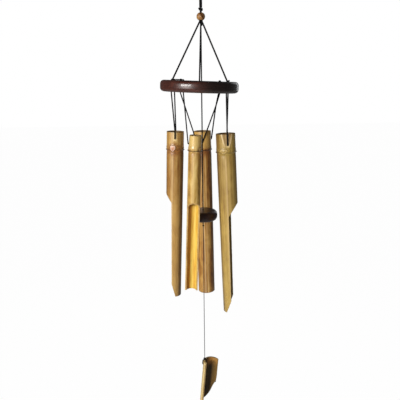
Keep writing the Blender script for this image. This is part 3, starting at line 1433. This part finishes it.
def build_sling(tube):
    """A closed loop: over the ring, down through it and through the tube."""
    pair = tube.ring_holes()
    tops = [on_ring(point.x, point.y, SLING_TOP) for point in pair]
    pivots = [on_ring(point.x, point.y, SLING_PIVOT) for point in pair]
    strands, corners = [], []
    for k in (0, 1):
        points, sizes = [tops[k], pivots[k]], [0.9, 1.0]
        for stop in SLING_WAYS[tube.name][k]:
            if stop == "rim":
                reach = tube.top_radius + SLING_R + RIM_CLEARANCE[tube.name]
                points.append(tube.top + tube.lean @ polar(reach, tube.holes[k][0], 1.2))
                sizes.append(3.0)
            else:
                points.append(Vector((stop[0], stop[1], level(stop[2]))))
                sizes.append(7.0)
        strands.append(points + [tube.hole(k)])
        corners.append(sizes + [0.75])
    middle = (tops[0] + tops[1]) * 0.5
    path = [middle] + strands[0] + strands[1][::-1] + [middle]
    corner = [0] + corners[0] + corners[1][::-1] + [0]
    radius = 1.0 if tube.name == "front" else SLING_SHOWN
    sling = cord_object("tube_sling_" + tube.name,
                        [rope(path, radius, corner=corner, phase=tube.ring_az)])
    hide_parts("sling_" + tube.name, "sling_bridge_" + tube.name)
    pivot = (pivots[0] + pivots[1]) * 0.5
    tuple((pivot + Vector((0, 0, 0.5))) * MM)
    tuple((pivot - Vector((0, 0, 4.0))) * MM)
    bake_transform(sling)
    if tube.name in CORD_RUNS:
        build_cord_run(tube, pair)


def build_cord_run(tube, pair):
    """A knot on the sling and a cord along the ring's top, short of the suspension cord."""
    hole = polar(SUSP_CIRCLE_R, SUSP_AZ[CORD_RUNS[tube.name]])
    near = min(pair, key=lambda point: (point - hole).length)
    span = hole - near
    far = near + span * ((span.length - 2 * CORD_R - 0.35) / span.length)
    start, end = on_ring(near.x, near.y, SLING_TOP), on_ring(far.x, far.y, SLING_TOP)
    middle = (start + end) * 0.5 + Vector((0.0, 0.0, 0.15))
    parts = [rope([start, middle, end], SLING_R, corner=2.0)]
    parts += knot_parts(start + Vector((0, 0, 0.4)), 0.62, 1.9, squash=0.9,
                        turn=tube.ring_az, lean=14)
    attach(cord_object("cord_run_" + tube.name, parts), "ring")


def build_clapper_cord():
    """The cord down through the clapper, in two pieces, and the knot under the clapper."""
    link_top = FAN_TOP_Z + 0.1
    link_foot = level(92.6)
    line_top = link_foot - 2 * SLING_R - GAP
    joint = (link_foot + line_top) * 0.5 + 0.2
    head = cord_object("clapper_line_head",
                       [rope([(0, 0, BEAD_FOOT_Z + 0.1), (0, 0, joint)], LINE_SHOWN)])
    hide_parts("clapper_cord_link")
    blend_on_axis(head, link_top + 0.3, link_foot + 1.5)
    line = cord_object("clapper_line",
                       [rope([(0, 0, joint + 0.8), (0, 0, LINE_FOOT_Z - 1.2)], LINE_SHOWN)])
    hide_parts("clapper_cord")
    blend_on_axis(line, link_foot - 0.2, line_top - 5.0)
    parts = knot_parts((0, 0, STOP_KNOT_Z), 0.95, STOP_KNOT_R, squash=0.95, turn=25, lean=8)
    knot = cord_object("clapper_stop_knot_cord", parts)
    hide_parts("clapper_stop_knot")
    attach(knot, "clapper_cord")


def build_tail():
    """The thin cord from the clapper's cord to the wind catcher, knotted at both ends."""
    tie_z = LINE_FOOT_Z - SLING_R - GAP - TIE_KNOT_R
    tail_top = tie_z - TIE_KNOT_R - GAP - TAIL_R
    parts = knot_parts((0, 0, tie_z), 0.72, TIE_KNOT_R, squash=0.95, turn=80, lean=30)
    tie = cord_object("tail_tie_knot_cord", parts)
    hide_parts("tail_tie_knot")
    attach(tie, "tail_tie_knot")
    strand = rope([(0, 0, tie_z - 0.6), (0, 0, TAIL_KNOT_Z)], 0.62, pitch=2.6, around=10,
                  step=0.4)
    tail = cord_object("tail_line", [strand], THIN_CORD)
    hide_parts("tail_cord")
    blend_on_axis(tail, tail_top + 1.2, tail_top - 4.0)
    parts = knot_parts((0, 0, TAIL_KNOT_Z), 0.86, TAIL_KNOT_R + 0.7, squash=0.95, turn=130,
                       lean=24)
    knot = cord_object("tail_end_knot_cord", parts)
    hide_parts("tail_end_knot")
    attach(knot, "tail_cord")


# ---------------------------------------------------------------- wind catcher
def curve_through(points):
    """A Catmull-Rom curve through points, as dense points."""
    points = [np.array(point, float) for point in points]
    points = [2 * points[0] - points[1]] + points + [2 * points[-1] - points[-2]]
    curve = []
    for i in range(1, len(points) - 2):
        a, b, c, d = points[i - 1:i + 3]
        for k in range(CURVE_STEPS):
            s = k / CURVE_STEPS
            curve.append(0.5 * ((2 * b) + (c - a) * s + (2 * a - 5 * b + 4 * c - d) * s * s
                                + (3 * b - a - 3 * c + d) * s ** 3))
    curve.append(points[-2])
    return np.array(curve)


def sail_grain(kind):
    """A material started for the sail: its tree, y, depth, noise place, fibre and tone."""
    tree = Tree("sail_" + kind)
    x, y, z = tree.split(tree.attribute("loc"))
    depth = z * -1.0
    place_at = tree.vector(x + 40.0, y + 11.0, depth)
    fibre = tree.noise(place_at, (1.3, 1.3, 0.035), detail=4, rough=0.65)
    wide = tree.noise(place_at, (0.22, 0.22, 0.02))
    return tree, y, depth, place_at, fibre, (fibre * 0.45 + wide * 0.55).fade(0.34, 0.64)


def sail_skin_material():
    tree, _, depth, place_at, fibre, tone = sail_grain("skin")
    tree.ramp(tone, (0.0, srgb(192, 152, 84)), (0.5, srgb(232, 200, 130)),
              (1.0, srgb(250, 226, 166)))
    ragged = tree.noise(place_at, (0.2, 0.2, 0.14), detail=4)
    stain = depth.fade(22.0, 4.0) * ragged.fade(0.42, 0.6)
    tree.tint(srgb(110, 80, 44), stain, amount=0.55)
    return tree.finish(fibre, bump=0.4, distance=0.0003,
                       roughness=0.40, coat=0.3, coat_roughness=0.28)


def sail_hollow_material():
    tree, y, depth, _, fibre, tone = sail_grain("hollow")
    tree.ramp(tone, (0.0, srgb(40, 26, 12)), (0.5, srgb(62, 43, 18)), (1.0, srgb(84, 62, 28)))
    # warm at the top, greenish below that, light towards the +y side
    tree.tint(srgb(196, 138, 66), depth.fade(20.0, 3.0) * y.fade(-4.0, 5.0), amount=0.9)
    tree.tint(srgb(58, 56, 26), depth.fade(16.0, 26.0) * depth.fade(46.0, 30.0), amount=0.35)
    tree.tint(srgb(158, 122, 66), y.fade(6.5, 11.5), amount=0.6)
    # a light line, then a dark one, along the lower edge
    from_edge = tree.attribute("edge_dist", output="Fac")
    tree.tint(srgb(170, 134, 80), (from_edge - 3.4).peak(width=0.9), amount=0.45)
    tree.tint(srgb(20, 12, 7), from_edge.fade(2.6, 1.4, high=0.9))
    return tree.finish(fibre, bump=0.4, distance=0.0003,
                       roughness=0.6, specular=0.2, coat=0.08, coat_roughness=0.3)


def sail_edge_material():
    tree, y, depth, _, fibre, tone = sail_grain("edge")
    tree.ramp(tone, (0.0, srgb(176, 134, 74)), (0.6, srgb(226, 190, 122)),
              (1.0, srgb(246, 218, 156)))
    dark = (depth.fade(30.0, 50.0) * y.fade(-6.0, 2.0)
            + depth.fade(30.0, 20.0) * (y.fade(-7.0, -2.0) * 0.62))
    tree.tint(srgb(60, 40, 24), dark, amount=0.8)
    return tree.finish(fibre, bump=0.4, distance=0.0003,
                       roughness=0.5, coat=0.2, coat_roughness=0.3)


def build_sail():
    """Half a cane, hollow towards its own +x."""
    columns, rows = 72, 44
    inner_r = SAIL_R - SAIL_WALL
    lower_edge = np.concatenate([np.array(SAIL_CORNER), curve_through(SAIL_CURVE)])
    verts, faces, kinds, edge_distances = [], [], [], []

    def surface(radius, inner):
        half = math.pi - math.acos(SAIL_PAST_HALF / radius)
        grid = []
        for k in range(rows + 1):
            share = k / rows
            row = []
            for j in range(columns + 1):
                angle = -half + 2 * half * j / columns
                uneven = 0.12 * math.sin(2.2 * angle + 0.7) + 0.08 * math.sin(5 * share + angle)
                reach = radius + uneven * (0.6 if inner else 1.0)
                if inner:
                    # the wall thins towards its +y edge
                    reach += 1.7 * float(smooth_step((angle - 0.35 * half) / (0.65 * half)))
                y = reach * math.sin(angle)
                bottom = float(np.interp(y, lower_edge[:, 0], lower_edge[:, 1]))
                down = share ** 0.92
                row.append(len(verts))
                edge_distances.append((SAIL_LENGTH - bottom) * (1 - down))
                verts.append((-reach * math.cos(angle), y, -(SAIL_LENGTH - bottom) * down))
            grid.append(row)
        return grid

    def add(kind, *face):
        faces.append(face)
        kinds.append(kind)

    outer, inner = surface(SAIL_R, False), surface(inner_r, True)
    for k in range(rows):
        for j in range(columns):
            add(SKIN, outer[k][j], outer[k][j + 1], outer[k + 1][j + 1], outer[k + 1][j])
            add(FLESH, inner[k][j + 1], inner[k][j], inner[k + 1][j], inner[k + 1][j + 1])
    for k in range(rows):
        add(SAWN, outer[k][0], outer[k + 1][0], inner[k + 1][0], inner[k][0])
        add(SAWN, outer[k + 1][-1], outer[k][-1], inner[k][-1], inner[k + 1][-1])
    for j in range(columns):
        add(SAWN, outer[0][j + 1], outer[0][j], inner[0][j], inner[0][j + 1])
        add(SAWN, outer[-1][j], outer[-1][j + 1], inner[-1][j + 1], inner[-1][j])
    materials = [sail_skin_material(), sail_hollow_material(), sail_edge_material()]
    sail = make_object("wind_catcher", verts, faces, materials, kinds)
    attribute = sail.data.attributes.new("edge_dist", "FLOAT", "POINT")
    attribute.data.foreach_set("value", np.array(edge_distances, np.float32))
    outward_normals(sail)
    bevel_between(sail, width=0.5, segments=3)
    drill(sail, polar(inner_r - 4, SAIL_HOLE_AZ, -SAIL_HOLE_DROP),
          polar(SAIL_R + 4, SAIL_HOLE_AZ, -SAIL_HOLE_DROP), SAIL_HOLE_R, SAWN)
    sharp_by_angle(sail, 45)
    place(sail, SAIL_MATRIX)
    fit(sail, "sail")


def build_sail_eye():
    """The cord through the wind catcher's hole, up over both faces to the tail's knot."""
    inner_r = SAIL_R - SAIL_WALL - EYE_R - 0.25
    outer_r = SAIL_R + EYE_R + 0.25
    over_rim, at_hole = 0.9, -SAIL_HOLE_DROP
    stops = [(inner_r, over_rim), (inner_r, at_hole), (outer_r, at_hole), (outer_r, over_rim)]
    apex = Vector((0, 0, TAIL_KNOT_Z - TAIL_KNOT_R + 0.5))
    path = [apex] + [SAIL_MATRIX @ polar(r, SAIL_HOLE_AZ, z) for r, z in stops] + [apex]
    strand = rope(path, 1.0, corner=[0, 1.6, 1.2, 1.2, 1.6, 0], pitch=3.6)
    eye = cord_object("sail_eye_cord", [strand], OLIVE_CORD)
    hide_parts("sail_eye")
    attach(eye, "sail_eye")


# ---------------------------------------------------------------- stage, in metres
def floor_material():
    """Pale and matt; the camera sees it as almost plain white."""
    tree = Tree("pale_floor")
    position = Wire(tree, tree.node("ShaderNodeTexCoord").outputs["Object"])
    cloud = tree.noise(position, (1000, 1000, 1000), scale=0.004)
    tree.colour = (0.93, 0.93, 0.93, 1)
    tree.tint((0.90, 0.90, 0.905, 1), cloud, amount=0.25)
    material = tree.finish(roughness=0.9)
    camera_ray = Wire(tree, tree.node("ShaderNodeLightPath").outputs["Is Camera Ray"])
    emission = tree.node("ShaderNodeEmission")
    emission.inputs[0].default_value = (1, 1, 1, 1)
    emission.inputs[1].default_value = 1.0
    mix = tree.node("ShaderNodeMixShader")
    tree.put(mix.inputs[0], camera_ray * 0.985)
    tree.links.new(tree.principled.outputs[0], mix.inputs[1])
    tree.links.new(emission.outputs[0], mix.inputs[2])
    tree.links.new(mix.outputs[0], tree.output.inputs[0])
    return material


def build_floor():
    half, z, cells = 14.0, -1.5, 12
    row = cells + 1
    verts = [(-half + 2 * half * i / cells, -half + 2 * half * j / cells, z)
             for j in range(row) for i in range(row)]
    faces = [(j * row + i, j * row + i + 1, (j + 1) * row + i + 1, (j + 1) * row + i)
             for j in range(cells) for i in range(cells)]
    material = floor_material()
    mesh = bpy.data.meshes.new("studio_floor")
    mesh.from_pydata(verts, [], faces)
    mesh.materials.append(material)
    ob = bpy.data.objects.new("studio_floor", mesh)
    bpy.context.scene.collection.objects.link(ob)


def build_world():
    """White to the camera, a dim warm light to everything else."""
    world = bpy.data.worlds.new("studio")
    bpy.context.scene.world = world
    world.use_nodes = True
    nodes, links = world.node_tree.nodes, world.node_tree.links
    nodes.clear()
    output = nodes.new("ShaderNodeOutputWorld")
    mix = nodes.new("ShaderNodeMixShader")
    light_path = nodes.new("ShaderNodeLightPath")
    links.new(light_path.outputs["Is Camera Ray"], mix.inputs[0])
    # mix input, colour, strength
    for slot, colour, strength in ((1, (1.0, 0.99, 0.97, 1), 0.085), (2, (1, 1, 1, 1), 1.0)):
        background = nodes.new("ShaderNodeBackground")
        background.inputs[0].default_value = colour
        background.inputs[1].default_value = strength
        links.new(background.outputs[0], mix.inputs[slot])
    links.new(mix.outputs[0], output.inputs[0])


def area_light(name, at, power, size, height=None, colour=(1.0, 0.99, 0.98), aim_z=-0.36,
               glossy=True):
    light = bpy.data.lights.new(name, "AREA")
    light.energy = power
    light.color = colour
    light.shape = "RECTANGLE" if height else "SQUARE"
    light.size = size
    if height:
        light.size_y = height
    ob = bpy.data.objects.new(name, light)
    ob.location = at
    ob.rotation_mode = "QUATERNION"
    aim = Vector((0, 0, aim_z)) - Vector(at)
    ob.rotation_quaternion = aim.to_track_quat("-Z", "Y")
    ob.visible_camera = False
    bpy.context.scene.collection.objects.link(ob)
    ob.visible_glossy = glossy


def build_lights():
    area_light("key", at=(-1.25, -1.55, 0.02), power=37.5, size=1.0, height=0.28,
               colour=(1.0, 0.985, 0.96), aim_z=-0.40)
    area_light("fill_front", at=(0.3, -2.4, 0.0), power=4.2, size=1.4, glossy=False)
    area_light("rim_right", at=(1.0, 1.6, 0.1), power=3.0, size=0.35, height=1.4,
               colour=(0.96, 0.98, 1.0))
    # reaches only the faces turned away from the camera
    area_light("fill_back", at=(-0.2, 2.3, 0.0), power=15.0, size=1.2, glossy=False)


def build_camera():
    """In front of the chime, looking along +y and down."""
    pitch, roll = 14.0 * DEG, -0.75 * DEG
    data = bpy.data.cameras.new("camera")
    data.sensor_width = 36.0
    data.lens = 43.2
    data.clip_start = 0.01
    data.clip_end = 60.0
    camera = bpy.data.objects.new("camera", data)
    level_right = Vector((1, 0, 0))
    forward = Vector((0, math.cos(pitch), -math.sin(pitch)))
    level_up = Vector((0, math.sin(pitch), math.cos(pitch)))
    right = level_right * math.cos(roll) + level_up * math.sin(roll)
    upward = level_up * math.cos(roll) - level_right * math.sin(roll)
    matrix = Matrix((right, upward, -forward)).transposed().to_4x4()
    matrix.translation = Vector((-0.005, -0.798, -0.17525))
    camera.matrix_world = matrix
    scene = bpy.context.scene
    scene.collection.objects.link(camera)
    scene.camera = camera
    scene.view_settings.view_transform = "Standard"
    scene.view_settings.look = "None"


build_ring()
for tube in ALL_TUBES:
    tube.build()
build_clapper()
build_bead()
build_hanging_loop()
build_loop_knot()
build_bead_cords()
build_suspension()
build_lashing()
for tube in ALL_TUBES:
    build_sling(tube)
build_clapper_cord()
build_tail()
build_sail()
build_sail_eye()
build_floor()
build_world()
build_lights()
build_camera()

bpy.context.view_layer.update()
